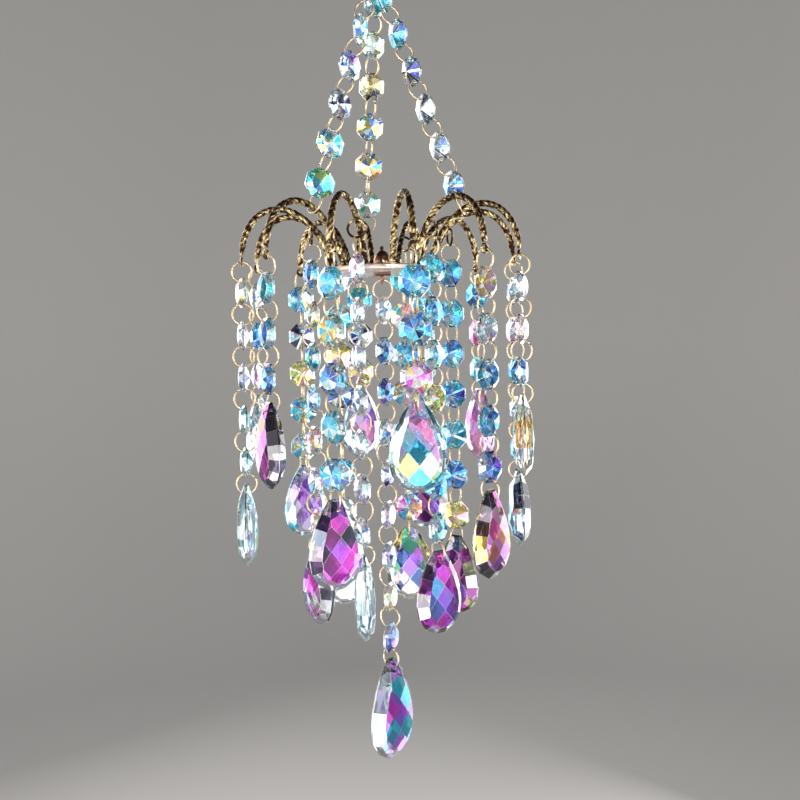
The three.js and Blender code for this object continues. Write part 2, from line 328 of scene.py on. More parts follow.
FINIAL_RADIUS = 4.2
FINIAL_BALL = 1.1
FINIAL_NECK = 0.55
FINIAL_FULLNESS = 1.2
FINIAL_SKIRT = 0.34
FINIAL_FOOT = 0.5
FINIAL_CHAMFER = 0.3
FINIAL_SIDES = 48
BALL_ARC = math.pi * 0.8
BALL_STEPS = 10
DOME_STEPS = 12
BROWN_COLOUR = (0.62, 0.36, 0.24)
BROWN_SHADE = (0.10, 0.04, 0.025)

finial_low = lower_corner("finial").z
finial_top = upper_corner("finial").z
dome_top = finial_top - 2 * FINIAL_BALL


def dome_profile():
    """From the ball's top down over the neck, the dome and its straight skirt, to the axis."""
    ball = [
        (FINIAL_BALL * math.sin(turn), finial_top - FINIAL_BALL + FINIAL_BALL * math.cos(turn))
        for turn in (BALL_ARC * step / BALL_STEPS for step in range(BALL_STEPS + 1))
    ]
    skirt = finial_low + (dome_top - finial_low) * FINIAL_SKIRT
    dome = [
        (
            FINIAL_NECK + (FINIAL_RADIUS - FINIAL_NECK) * math.sin(turn),
            skirt + (dome_top - skirt) * math.cos(turn) ** FINIAL_FULLNESS,
        )
        for turn in (math.pi / 2 * step / DOME_STEPS for step in range(1, DOME_STEPS))
    ]
    foot = [
        (FINIAL_RADIUS, skirt),
        (FINIAL_RADIUS, finial_low + FINIAL_FOOT),
        (FINIAL_RADIUS - FINIAL_CHAMFER, finial_low),
        (0, finial_low),
    ]
    return ball + dome + foot


BROWNED_BRASS = plated_metal("browned_brass", BROWN_COLOUR, BROWN_SHADE, roughness=0.14, grain=260, bump=0.2)
shell = Shell()
turned(shell, dome_profile(), FINIAL_SIDES)
make_piece("finial_nut", shell, BROWNED_BRASS, ["finial"])

# The centre hook
# A flat strip folded into a T and fixed under the hub. The hole in its stem carries the first
# ring of the centre strand.

HOOK_BAR = (8.5, 4.0, 0.9)
HOOK_STEM = (1.4, 4.0)
HOOK_EDGE = 0.25
HOLE_RADIUS = 0.85
HOOK_RIM = 1.2
HOOK_POINTS = 32
PLATE_EDGE = 0.2

hook_top = upper_corner("centre_hook").z
hook_bottom = lower_corner("centre_hook").z
hook_hole = hook_bottom + HOOK_RIM + HOLE_RADIUS


def bevelled_box(shell, low, high, edge):
    """A box whose edges and corners are cut back a little."""
    block = bmesh.new()
    bmesh.ops.create_cube(block, size=1)
    for corner in block.verts:
        corner.co = Vector(low[axis] if corner.co[axis] < 0 else high[axis] for axis in range(3))
    bmesh.ops.bevel(block, geom=block.edges[:], offset=edge, segments=2, affect="EDGES", profile=0.5)
    block.verts.index_update()
    shell.add([tuple(v.co) for v in block.verts], [[v.index for v in face.verts] for face in block.faces])
    block.free()


def holed_plate(shell, outline, hole, thickness, place):
    """A plate whose outline and round hole have as many points each. Place puts (across, up, depth)."""
    count = len(outline)
    rings = []
    edge = thickness * PLATE_EDGE
    for points, depth, shrink in (
        (outline, thickness / 2, edge), (outline, thickness / 2 - edge, 0),
        (outline, edge - thickness / 2, 0), (outline, -thickness / 2, edge),
        (hole, -thickness / 2, -edge), (hole, edge - thickness / 2, 0),
        (hole, thickness / 2 - edge, 0), (hole, thickness / 2, -edge),
    ):
        middle = Vector((0, 0))
        for point in points:
            middle += Vector(point) / count
        ring = []
        for point in points:
            arm = Vector(point) - middle
            moved = middle + arm * (1 - shrink / arm.length)
            ring.append(place(moved.x, moved.y, depth))
        rings.append(ring)
    shell.tube(rings, True)


def box_outline(half_width, low, high, count):
    """Points of an upright rectangle about the origin, one along each of count even rays."""
    points = []
    for index in range(count):
        angle = 2 * math.pi * index / count
        x, y = math.cos(angle), math.sin(angle)
        reach = min(half_width / max(abs(x), 1e-6), (high if y > 0 else -low) / max(abs(y), 1e-6))
        points.append((x * reach, y * reach))
    return points


def circle(radius, count):
    return [
        (radius * math.cos(2 * math.pi * index / count), radius * math.sin(2 * math.pi * index / count))
        for index in range(count)
    ]


shell = Shell()
bar_width, bar_depth, bar_thickness = HOOK_BAR
bevelled_box(
    shell,
    (-bar_width / 2, -bar_depth / 2, hook_top - bar_thickness),
    (bar_width / 2, bar_depth / 2, hook_top),
    HOOK_EDGE,
)
stem_thickness, stem_width = HOOK_STEM
stem_top = hook_top - bar_thickness / 2 - hook_hole
stem = box_outline(stem_width / 2, hook_bottom - hook_hole, stem_top, HOOK_POINTS)
holed_plate(
    shell, stem, circle(HOLE_RADIUS, HOOK_POINTS), stem_thickness,
    lambda across, up, depth: (depth, across, hook_hole + up),
)
make_piece("hook_strip", shell, BROWNED_BRASS, ["centre_hook"], smooth=False)

# The arms
# Each arm is a brass bar twisted like rope and bent to a tall arch. Its foot is brazed to the
# hub and its outer end is beaten into an eye. Every second arm has a loop under its inner leg.

ARM_COUNT = 12
FIRST_ARM_ANGLE = 12.3
ARM_ROD = 3.2
ARM_GROOVE = 0.5
ARM_GOLD = (0.95, 0.74, 0.38)
# The dark colour is patina in the twist's grooves, and painted shade on the bar's upper side.
ARM_PATINA_AND_SHADE = (0.045, 0.018, 0.008)
ARM_LOBES = 4
ARM_TWIST_LENGTH = 11.5
ARM_STEP = 0.45
ARM_SIDES = 20
TWIST_SEED = 12
ARM_FOOT = 24.2
ARM_REACH = 67.6
ARCH_RISE = 37.0
ARCH_SHOULDER = 36.0
INNER_LEAN = 10.0
OUTER_LEAN = 1.5
FOOT_GAP = 0.3
EYE_HEIGHT = 3.1
EYE_MEAN_RADIUS = 1.6
EYE_WIRE = 1.6
EYE_THICKNESS = 1.4
EYE_NECK = 5.0
LOOP_REACH = 34.6
LOOP_WIRE = 1.2
LOOP_HALF_WIDTH = 4.4
LOOP_BOTTOM = 3.57
LOOP_DROP = 5.9
LOOP_LOWERING = 0.5
INNER_LEG_SHARE = 0.6
FOOT_OVERLAP = 0.5
LINE_STEPS = 600
HALVINGS = 40
HOLLOW_SHARPNESS = 1.6
# Darkening of the bar: patina in its grooves all round, and painted shade on its upper side, on the grooves
# and on the lobes between them.
HOLLOW_GAIN = 2.2
HOLLOW_BELOW = 0.4
HOLLOW_SHADE_ABOVE = 0.8
UPPER_PAINTED_SHADE = 0.3
EYE_TURNS = 32
EYE_SIDES = 12
LOOP_TURNS = 40
LOOP_SIDES = 10
COLLAR_TURNS = 24
COLLAR_SIDES = 8
COLLAR_SPREAD = 0.1
COLLAR_LIFT = 0.1
COLLAR_HALF_WIDTH = 0.55
COLLAR_HALF_HEIGHT = 0.4

lean = math.atan2(INNER_LEAN, ARCH_RISE)
ARM_CORNERS = [
    Vector((ARM_FOOT, FOOT_GAP + ARM_ROD / 2 * math.sin(lean))),
    Vector((ARM_FOOT + INNER_LEAN, ARCH_RISE)),
    Vector((ARM_REACH - OUTER_LEAN, ARCH_SHOULDER)),
    Vector((ARM_REACH, EYE_HEIGHT + HOLE_RADIUS + ARM_ROD / 2)),
]


def arm_angle(index):
    return math.radians(FIRST_ARM_ANGLE + index * 360 / ARM_COUNT)


def arm_point(share):
    """Reach and height over the hub of the arm's middle line, at this share of its curve."""
    weights = ((1 - share) ** 3, 3 * share * (1 - share) ** 2, 3 * share ** 2 * (1 - share), share ** 3)
    point = Vector((0, 0))
    for weight, corner in zip(weights, ARM_CORNERS):
        point += corner * weight
    return point


def share_at_reach(reach):
    """The share of the curve, on the inner leg, where the arm is this far from the axis."""
    low, high = 0.0, INNER_LEG_SHARE
    for _ in range(HALVINGS):
        middle = (low + high) / 2
        if arm_point(middle).x < reach:
            low = middle
        else:
            high = middle
    return low


def in_crown(angle, reach, side, height):
    """A point by its reach from the axis, its place beside the arm's plane and its height over the hub."""
    return Vector((
        reach * math.sin(angle) + side * math.cos(angle),
        -reach * math.cos(angle) + side * math.sin(angle),
        hub_top + height,
    ))


def arm_middle_line():
    """Even points along the arm, from a little inside the hub to the eye."""
    fine = [arm_point(step / LINE_STEPS) for step in range(LINE_STEPS + 1)]
    fine.insert(0, fine[0] - (fine[1] - fine[0]).normalized() * (FOOT_GAP + FOOT_OVERLAP))
    line = [fine[0]]
    for before, after in zip(fine, fine[1:]):
        while (after - line[-1]).length >= ARM_STEP and (before - line[-1]).length < ARM_STEP:
            line.append(line[-1] + (after - line[-1]).normalized() * ARM_STEP)
    return line


ARM_LINE = arm_middle_line()


def twisted_radius(angle):
    """Radius of the bar at this angle about its middle: full lobes with narrow grooves between."""
    lobe = abs(math.cos(ARM_LOBES / 2 * angle))
    return ARM_ROD / 2 - ARM_GROOVE * (1 - lobe) ** HOLLOW_SHARPNESS


def arm_bar(shell, angle, patina_and_shade_values, start):
    rows = []
    length = ARM_STEP * len(ARM_LINE)
    for index, middle in enumerate(ARM_LINE):
        before = ARM_LINE[max(index - 1, 0)]
        after = ARM_LINE[min(index + 1, len(ARM_LINE) - 1)]
        forward = (after - before).normalized()
        outward = Vector((-forward.y, forward.x))
        travelled = index * ARM_STEP
        flatten = min(1.0, max(0.0, (EYE_NECK - (length - travelled)) / EYE_NECK))
        twist = start + 2 * math.pi * travelled / ARM_TWIST_LENGTH
        row = []
        for side in range(ARM_SIDES):
            turn = 2 * math.pi * side / ARM_SIDES
            radius = twisted_radius(turn + twist)
            # Painted shade: the upper side is darkened, its grooves most, as if shaded from above. The
            # grooves' darkening all round is patina.
            upper = 0.5 + 0.5 * math.cos(turn)
            depth = HOLLOW_GAIN * (ARM_ROD / 2 - radius) / ARM_GROOVE
            darkness = depth * (HOLLOW_BELOW + HOLLOW_SHADE_ABOVE * upper) + UPPER_PAINTED_SHADE * upper
            patina_and_shade_values.append(min(1.0, darkness) * (1 - flatten))
            thin = radius * math.cos(turn) * (1 - flatten * (1 - EYE_THICKNESS / ARM_ROD))
            wide = radius * math.sin(turn)
            point = middle + outward * thin
            row.append(in_crown(angle, point.x, wide, point.y))
        rows.append(row)
    shell.tube(rows, False)


def closed_tube(shell, turns, sides, place):
    """A closed tube. Place gives a point by the angle along the tube and the angle round its wire."""
    shell.tube([
        [place(2 * math.pi * step / turns, 2 * math.pi * side / sides) for side in range(sides)]
        for step in range(turns)
    ], True)


def arm_eye(shell, angle):
    def place(turn, around):
        radius = EYE_MEAN_RADIUS + EYE_WIRE / 2 * math.cos(around)
        depth = EYE_THICKNESS / 2 * math.sin(around)
        return in_crown(
            angle, ARM_REACH + depth, radius * math.sin(turn), EYE_HEIGHT + radius * math.cos(turn),
        )

    closed_tube(shell, EYE_TURNS, EYE_SIDES, place)


LOOP_CENTRE = arm_point(share_at_reach(LOOP_REACH)).y - LOOP_DROP
LOOP_TOP = LOOP_DROP - ARM_ROD / 2 + LOOP_WIRE / 2 - LOOP_LOWERING


def arm_loop(shell, angle):
    half_height = (LOOP_TOP + LOOP_BOTTOM) / 2
    middle = LOOP_CENTRE + (LOOP_TOP - LOOP_BOTTOM) / 2

    def place(turn, around):
        out = LOOP_WIRE / 2 * math.cos(around)
        sideways = LOOP_HALF_WIDTH * math.sin(turn) + out * math.sin(turn)
        height = middle + half_height * math.cos(turn) + out * math.cos(turn)
        return in_crown(angle, LOOP_REACH + LOOP_WIRE / 2 * math.sin(around), sideways, height)

    closed_tube(shell, LOOP_TURNS, LOOP_SIDES, place)


def braze_collar(shell, angle):
    """The low bead of solder round the arm's foot."""

    def place(turn, around):
        radius = ARM_ROD / 2 + COLLAR_SPREAD + COLLAR_HALF_WIDTH * math.cos(around)
        lift = COLLAR_LIFT + COLLAR_HALF_HEIGHT * math.sin(around)
        return in_crown(angle, ARM_FOOT + radius * math.cos(turn), radius * math.sin(turn), lift)

    closed_tube(shell, COLLAR_TURNS, COLLAR_SIDES, place)


TWISTED_BRASS = plated_metal(
    "twisted_brass", ARM_GOLD, ARM_PATINA_AND_SHADE, roughness=0.16, grain=330, bump=0.4, patina_and_shade_attribute="patina_and_shade_mask",
)

twist_order = random.Random(TWIST_SEED)
for index in range(ARM_COUNT):
    number = f"{index + 1:02d}"
    angle = arm_angle(index)
    shell = Shell()
    patina_and_shade_values = []
    arm_bar(shell, angle, patina_and_shade_values, twist_order.uniform(0, 2 * math.pi))
    arm_eye(shell, angle)
    braze_collar(shell, angle)
    if index % 2 == 1:
        arm_loop(shell, angle)
    patina_and_shade_values += [0.0] * (len(shell.points) - len(patina_and_shade_values))
    piece = make_piece(f"twisted_arm_{number}", shell, TWISTED_BRASS, [f"arm_{number}"])
    # Each point's share of patina and painted shade goes to the shader as an attribute.
    mark = piece.data.attributes.new("patina_and_shade_mask", "FLOAT", "POINT")
    mark.data.foreach_set("value", patina_and_shade_values)

# The crystal stones
# Beads and drops are clear lead crystal, pressed and then cut flat facet by facet, drilled,
# and coated with a thin rainbow film that tints each facet its own colour.

STONE_COLOURS = {
    "clear": (0.93, 0.96, 0.97),
    "ice": (0.66, 0.92, 0.97),
    "aqua": (0.10, 0.70, 0.98),
    "blue": (0.07, 0.38, 0.95),
    "navy": (0.03, 0.08, 0.36),
    "teal": (0.04, 0.50, 0.68),
    "green": (0.20, 0.88, 0.58),
    "lime": (0.70, 0.92, 0.28),
    "gold": (0.98, 0.80, 0.24),
    "orange": (0.96, 0.45, 0.14),
    "pink": (0.97, 0.50, 0.82),
    "magenta": (0.92, 0.08, 0.80),
    "violet": (0.45, 0.16, 0.86),
    "lilac": (0.76, 0.68, 0.97),
    "plum": (0.30, 0.04, 0.26),
    "ink": (0.02, 0.02, 0.05),
}
FACET_EDGE = 0.07
NARROW_FACE = 0.16
CUT_TOLERANCE = 1e-5
SLIVER = 1e-3
DRILL_SIDES = 16
DRILL_REACH = 20
FILM_DETAIL = 1
FILM_SMOOTH = 0.005
FILM_HAZE = 0.05
FILM_METALLIC = 0.26
CRYSTAL_IOR = 1.54


def cut_stone(block, planes):
    """A block cut back by planes, each given by its outward normal and a point, with its edges eased.

    It returns a bmesh.
    """
    stone = bmesh.new()
    bmesh.ops.create_cube(stone, size=block)
    for normal, point in planes:
        geometry = stone.verts[:] + stone.edges[:] + stone.faces[:]
        bmesh.ops.bisect_plane(
            stone, geom=geometry, plane_co=point, plane_no=normal.normalized(),
            clear_outer=True, dist=CUT_TOLERANCE,
        )
        open_edges = [edge for edge in stone.edges if edge.is_boundary]
        if open_edges:
            bmesh.ops.contextual_create(stone, geom=open_edges)
    bmesh.ops.dissolve_degenerate(stone, dist=SLIVER, edges=stone.edges)
    bmesh.ops.bevel(
        stone, geom=stone.edges[:], offset=FACET_EDGE, segments=1, affect="EDGES", clamp_overlap=True,
    )
    return stone


def drilled(stone, holes, radius):
    """The cut stone with round holes along Y. It returns points, faces, and a normal for each face.

    The eased edges and the holes' walls have no normal, because they take no colour.
    """
    mesh = bpy.data.meshes.new("cut_stone")
    stone.to_mesh(mesh)
    stone.free()
    body = place_object("cut_stone", mesh)
    drills = []
    for x, z in holes:
        shell = Shell()
        rows = [
            [(x + across, depth, z + up) for across, up in circle(radius, DRILL_SIDES)]
            for depth in (-DRILL_REACH, DRILL_REACH)
        ]
        shell.tube(rows, False)
        drill_mesh = bpy.data.meshes.new("drill")
        drill_mesh.from_pydata(shell.points, [], shell.faces)
        face_outward(drill_mesh)
        drill = place_object("drill", drill_mesh)
        cut = body.modifiers.new("drill", "BOOLEAN")
        cut.operation = "DIFFERENCE"
        cut.solver = "EXACT"
        cut.object = drill
        drills.append(drill)
    bpy.context.view_layer.update()
    whole = body.evaluated_get(bpy.context.evaluated_depsgraph_get()).to_mesh()
    points = [vertex.co.copy() for vertex in whole.vertices]
    faces = [tuple(face.vertices) for face in whole.polygons]
    normals = []
    for face in whole.polygons:
        corners = [whole.vertices[index].co for index in face.vertices]
        girth = sum((before - after).length for before, after in zip(corners, corners[1:] + corners[:1]))
        normals.append(face.normal.copy() if face.area / girth > NARROW_FACE else None)
    body.to_mesh_clear()
    for item in [body, *drills]:
        spent = item.data
        bpy.data.objects.remove(item)
        bpy.data.meshes.remove(spent)
    return points, faces, normals


def build_rainbow_film():
    """The coating: each facet's own colour, drifting a little in hue, with a faint uneven haze."""
    group, given, result = node_group(
        "rainbow_film",
        [
            ("Facet colour", "NodeSocketColor", (1, 1, 1, 1)),
            ("Bands per metre", "NodeSocketFloat", 90.0),
            ("Drift", "NodeSocketFloat", 0.12),
        ],
        [("Colour", "NodeSocketColor"), ("Roughness", "NodeSocketFloat")],
    )
    noise = object_noise(group, given.outputs["Bands per metre"], FILM_DETAIL)
    centred = math_node(group, "SUBTRACT", noise, 0.5)
    hue = math_node(group, "MULTIPLY_ADD", centred, given.outputs["Drift"], 0.5)
    shift = group.nodes.new("ShaderNodeHueSaturation")
    feed(group, shift, {"Hue": hue, "Color": given.outputs["Facet colour"]})
    haze = group.nodes.new("ShaderNodeMapRange")
    feed(group, haze, {"Value": noise, "To Min": FILM_SMOOTH, "To Max": FILM_HAZE})
    feed(group, result, {"Colour": shift.outputs["Color"], "Roughness": haze.outputs["Result"]})
    return group


RAINBOW_FILM = build_rainbow_film()


def coated_crystal(name, bands, drift):
    material, tree = new_material(name)
    facet = tree.nodes.new("ShaderNodeAttribute")
    facet.attribute_name = "facet_colour"
    film = tree.nodes.new("ShaderNodeGroup")
    film.node_tree = RAINBOW_FILM
    feed(tree, film, {"Facet colour": facet.outputs["Color"], "Bands per metre": bands, "Drift": drift})
    feed(tree, tree.nodes["Principled BSDF"], {
        "Metallic": FILM_METALLIC,
        "Transmission Weight": 1,
        "IOR": CRYSTAL_IOR,
        "Base Color": film.outputs["Colour"],
        "Roughness": film.outputs["Roughness"],
    })
    return material


def set_stone(shell, cut, place, marks):
    shell.add([place @ point for point in cut[0]], cut[1], marks)


def colour_facets(piece, shell):
    layer = piece.data.color_attributes.new("facet_colour", "FLOAT_COLOR", "CORNER")
    values = []
    for face, mark in zip(piece.data.polygons, shell.marks):
        values += [*mark, 1.0] * face.loop_total
    layer.data.foreach_set("color", values)


# The octagon beads and their strands
# A crystal bead is an octagon cut in eight slices, which meet in a low point in front and
# behind, with two drilled holes. Pale gold wire jump rings join the holes, and every second
# arm's eye carries three beads, the others five.

BEAD_SIDES = 8
HALF_SLICE = math.pi / BEAD_SIDES
BEAD_BLOCK = 40
BEAD_ACROSS = 13.8
BEAD_GIRDLE = 0.5
BEAD_FRONT_HEIGHT = 3.0
BEAD_BEZEL_HEIGHT = 2.45
BEAD_BEZEL_RADIUS = 4.5
BEAD_BACK_HEIGHT = 3.4
FRONT_CORNER_CUT = 0.25
BACK_CORNER_CUT = 0.2
BACK_RIB_RADIUS = 1.2
BACK_RIB_DROP = 0.55
BEAD_HOLE_PLACE = 5.05
BEAD_HOLE_RADIUS = 0.75
BEAD_PITCH = 20.0
BEAD_RIM_SLOPE = 0.4
BEAD_BEZEL_SLOPE = 0.9
RING_RADIUS = 4.95
END_RING_RADIUS = 4.7
RING_WIRE = 0.8
RING_SLIT = 0.06
RING_TURNS = 32
RING_SIDES = 8
RING_SWAY = 0.05
BEAD_SWAY = 0.14
SLIT_PLACES = (0.5, 2.6)
RING_COLOUR = (0.95, 0.84, 0.62)
RING_SHADE = (0.8, 0.6, 0.35)
CLEAR_RIM = ["clear", "clear", "ice"]


def ray(turn):
    """A direction out from the stone's Y axis."""
    return Vector((math.sin(turn), 0, math.cos(turn)))


def plane_through(turn, near, far):
    """A facet plane through two (radius, depth) points on one ray, level across the ray."""
    run = near[0] - far[0]
    rise = far[1] - near[1]
    outward = ray(turn)
    normal = outward * abs(rise) + Vector((0, math.copysign(run, rise), 0))
    return normal, outward * near[0] + Vector((0, near[1], 0))


def bead_planes():
    radius = BEAD_ACROSS / 2
    corner = radius / math.cos(HALF_SLICE)
    bezel = (BEAD_BEZEL_RADIUS, -BEAD_BEZEL_HEIGHT)
    back_rib = (BACK_RIB_RADIUS, BEAD_BACK_HEIGHT - BACK_RIB_DROP)
    planes = []
    for side in range(BEAD_SIDES):
        flat = 2 * HALF_SLICE * side
        between = flat + HALF_SLICE
        planes.append((ray(flat), ray(flat) * radius))
        planes.append(plane_through(flat, bezel, (0, -BEAD_FRONT_HEIGHT)))
        planes.append(plane_through(flat, (radius, -BEAD_GIRDLE), bezel))
        planes.append(plane_through(between, (corner - FRONT_CORNER_CUT, -BEAD_GIRDLE), bezel))
        planes.append(plane_through(flat, (radius, BEAD_GIRDLE), (0, BEAD_BACK_HEIGHT)))
        planes.append(plane_through(between, (corner - BACK_CORNER_CUT, BEAD_GIRDLE), back_rib))
    return planes


def bead_marks(normals, colours, chance):
    """A bead's colours go by its eight slices, front and back alike. Its bezel and edge are paler."""
    slices, corners, bezels = [
        [STONE_COLOURS[chance.choice(names)] for _ in range(BEAD_SIDES)]
        for names in (colours, colours + CLEAR_RIM, colours + CLEAR_RIM + CLEAR_RIM)
    ]
    marks = []
    for normal in normals:
        if normal is None or abs(normal.y) < BEAD_RIM_SLOPE:
            marks.append(STONE_COLOURS["clear"])
            continue
        sixteenth = round(math.atan2(normal.x, normal.z) / HALF_SLICE) % (2 * BEAD_SIDES)
        if sixteenth % 2:
            marks.append(corners[sixteenth // 2])
        elif abs(normal.y) < BEAD_BEZEL_SLOPE:
            marks.append(bezels[sixteenth // 2])
        else:
            marks.append(slices[sixteenth // 2])
    return marks


BEAD_CUT = drilled(
    cut_stone(BEAD_BLOCK, bead_planes()),
    [(0, BEAD_HOLE_PLACE), (0, -BEAD_HOLE_PLACE)], BEAD_HOLE_RADIUS,
)
BEAD_CRYSTAL = coated_crystal("bead_crystal", bands=90, drift=0.12)
RING_METAL = plated_metal("ring_wire", RING_COLOUR, RING_SHADE, roughness=0.12, grain=600, bump=0.1)


def upright(top, turn):
    """The place of a strand that hangs down from top, its stones facing by turn (radians)."""
    return Matrix.Translation(top) @ Matrix.Rotation(turn, 4, "Z")


def string(name, hang, beads, turns, palette, seed, twist=0.0):
    """One strand: beads, and a jump ring above, between and below them.

    Hang puts the strand's own frame in place: its origin is the first ring's middle and its
    beads hang along -Z, facing -Y. Turns gives the first and last ring's own turns, and each bead
    turns by twist from the one above it.
    """
    chance = random.Random(seed)
    stones = Shell()
    wires = Shell()
    for place in range(beads + 1):
        middle = -BEAD_PITCH * place
        turn = chance.uniform(-RING_SWAY, RING_SWAY) + twist * (place - 0.5)
        radius = RING_RADIUS
        if place in (0, beads):
            turn = turns[0] if place == 0 else turns[1]
            radius = END_RING_RADIUS
        across = Vector((math.sin(turn), -math.cos(turn), 0))
        ring_place = hang.to_3x3()
        wire_ring(
            wires, hang @ Vector((0, 0, middle)), ring_place @ across, ring_place @ Vector((0, 0, 1)),
            radius, RING_WIRE, RING_TURNS, RING_SIDES, RING_SLIT, chance.uniform(*SLIT_PLACES),
        )
    for place in range(beads):
        middle = Vector((0, 0, -BEAD_PITCH * (place + 0.5)))
        wobble = Matrix.Rotation(chance.uniform(-BEAD_SWAY, BEAD_SWAY) + twist * place, 4, "Z")
        spot = hang @ Matrix.Translation(middle) @ wobble
        set_stone(stones, BEAD_CUT, spot, bead_marks(BEAD_CUT[2], palette[place], chance))
    beads_piece = make_piece(f"{name}_beads", stones, BEAD_CRYSTAL, [name], smooth=False)
    colour_facets(beads_piece, stones)
    make_piece(f"{name}_rings", wires, RING_METAL)


def upright_string(name, top, facing, beads, ring_turns, palette, seed):
    """A strand that hangs straight down, its beads facing by facing (degrees)."""
    bead_turn = math.radians(facing)
    turns = [turn - bead_turn for turn in ring_turns]
    string(name, upright(top, bead_turn), beads, turns, palette, seed)


EYE_TO_RING = 4.757
OUTER_SEED = 1
AQUAS = ["aqua", "aqua", "aqua", "blue", "ice", "blue"]
BLUES = ["blue", "aqua", "navy", "blue", "ice"]
CYANS = ["aqua", "ice", "aqua", "teal", "clear"]
PINKS = ["pink", "magenta", "lilac", "clear", "gold"]
LILACS = ["lilac", "clear", "lilac", "pink", "ice"]
YELLOWS = ["gold", "lime", "gold", "clear", "pink"]
CLEARS = ["clear", "ice", "clear", "lilac", "navy"]
TEALS = ["teal", "blue", "aqua", "navy", "clear"]
ORANGES = ["orange", "gold", "pink", "clear", "aqua"]
SMOKES = ["clear", "ice", "clear", "navy", "ink"]
DUSKS = ["navy", "blue", "violet", "aqua", "navy"]
WEDGES = ["blue", "aqua", "gold", "ice", "clear"]

# Each strand's beads, the ways its beads and its drop face in degrees, and its beads' colours.
OUTER_STRANDS = [
    (3, 345, 5, [AQUAS, BLUES, PINKS]),
    (5, 45, 48, [YELLOWS, LILACS, BLUES, BLUES, DUSKS]),
    (3, 67, 85, [CLEARS, PINKS, BLUES]),
    (5, 118, 95, [CLEARS, LILACS, BLUES, CLEARS, CYANS]),
    (3, 132, 122, [BLUES, PINKS, CYANS]),
    (5, 165, 165, [AQUAS, CYANS, ORANGES, BLUES, CLEARS]),
    (3, 190, 215, [CYANS, CLEARS, YELLOWS]),
    (5, 190, 215, [WEDGES, SMOKES, YELLOWS, WEDGES, WEDGES]),
    (3, 253, 253, [CLEARS, BLUES, LILACS]),
    (5, 283, 275, [YELLOWS, LILACS, CLEARS, CYANS, CYANS]),
    (3, 303, 298, [TEALS, BLUES, DUSKS]),
    (5, 328, 30, [AQUAS, ORANGES, BLUES, CYANS, BLUES]),
]

for index, (beads, facing, drop_facing, palette) in enumerate(OUTER_STRANDS):
    top = in_crown(arm_angle(index), ARM_REACH, 0, EYE_HEIGHT - EYE_TO_RING)
    upright_string(
        f"outer_strand_{index + 1:02d}", top, facing, beads,
        (arm_angle(index), math.radians(drop_facing)), palette, OUTER_SEED + index,
    )

# The inner strands
# Six longer strands of seven beads, each hung from the loop under one of the arms.

INNER_BEADS = 7
LOOP_TO_RING = 7.467
INNER_SEED = 31

# The ways each strand's beads and drop face in degrees, and its beads' colours.
INNER_STRANDS = [
    (50, 34, [CYANS, AQUAS, CYANS, YELLOWS, CYANS, AQUAS, CYANS]),
    (145, 140, [BLUES, TEALS, BLUES, TEALS, CYANS, BLUES, YELLOWS]),
    (175, 180, [CYANS, ORANGES, AQUAS, ORANGES, BLUES, CYANS, ORANGES]),
    (180, 180, [CLEARS, CYANS, YELLOWS, CLEARS, LILACS, CYANS, CLEARS]),
    (293, 305, [BLUES, YELLOWS, TEALS, BLUES, ORANGES, CLEARS, PINKS]),
    (298, 275, [LILACS, CLEARS, LILACS, CLEARS, CLEARS, LILACS, CLEARS]),
]

for index, (facing, drop_facing, palette) in enumerate(INNER_STRANDS):
    angle = arm_angle(2 * index + 1)
    top = in_crown(angle, LOOP_REACH, 0, LOOP_CENTRE - LOOP_TO_RING)
    upright_string(
        f"inner_strand_{index + 1:02d}", top, facing, INNER_BEADS,
        (angle, math.radians(drop_facing)), palette, INNER_SEED + index,
    )

# The centre strand
# The longest strand, of nine beads, hung from the hook under the hub.

CENTRE_BEADS = 9
CENTRE_SEED = 51
CENTRE_RING_TURN = math.radians(90)
CENTRE_FACING = 65
CENTRE_DROP_TURN = math.radians(50)
centre_top = Vector((0, 0, hook_hole - EYE_TO_RING))
upright_string(
    "centre_strand", centre_top, CENTRE_FACING, CENTRE_BEADS, (CENTRE_RING_TURN, CENTRE_DROP_TURN),
    [CLEARS, DUSKS, DUSKS, CLEARS, CLEARS, LILACS, CLEARS, ORANGES, DUSKS], CENTRE_SEED,
)

# The pear drops
# Flat pears of the same coated crystal, cut with a net of large diamond facets front and back
# inside a narrow clear rim, and drilled through the tip for the last jump ring.

DROP_LENGTH = 38.0
DROP_WIDTH = 25.0
DROP_DEPTH = 9.5
DROP_TIP = 5.4
CENTRE_DROP_LENGTH = 48.0
CENTRE_DROP_WIDTH = 30.0
CENTRE_DROP_DEPTH = 11.0
DROP_BLOCK = 140
DROP_WIDEST = 0.64
DROP_SWELL = 0.9
DROP_ROUND = 2.2
DROP_EDGE = 0.45
DROP_BEZEL = math.radians(48)
DROP_HOLE_RADIUS = 0.9
DROP_HOLE_BELOW_TIP = 4.757
DROP_RIM_SLOPE = 0.85
FACET_SORTING = 20
RIM_CORNERS = (0, 0.14, 0.30, 0.47, 0.64, 0.80, 0.92, 0.985)
LENS_HALF_WIDTH = 0.62
LENS_HALF_LENGTH = 0.51
LENS_MIDDLE = 0.55
LENS_LEAST = 0.05
DIAMOND_ROWS = [
    (0.13, 0.10), (0.27, 0), (0.27, 0.30), (0.41, 0.17), (0.55, 0), (0.55, 0.34),
    (0.69, 0.17), (0.83, 0), (0.83, 0.33), (0.95, 0.15),
]
OUTER_DROP_SEED = 61
INNER_DROP_SEED = 81
CENTRE_DROP_SEED = 91


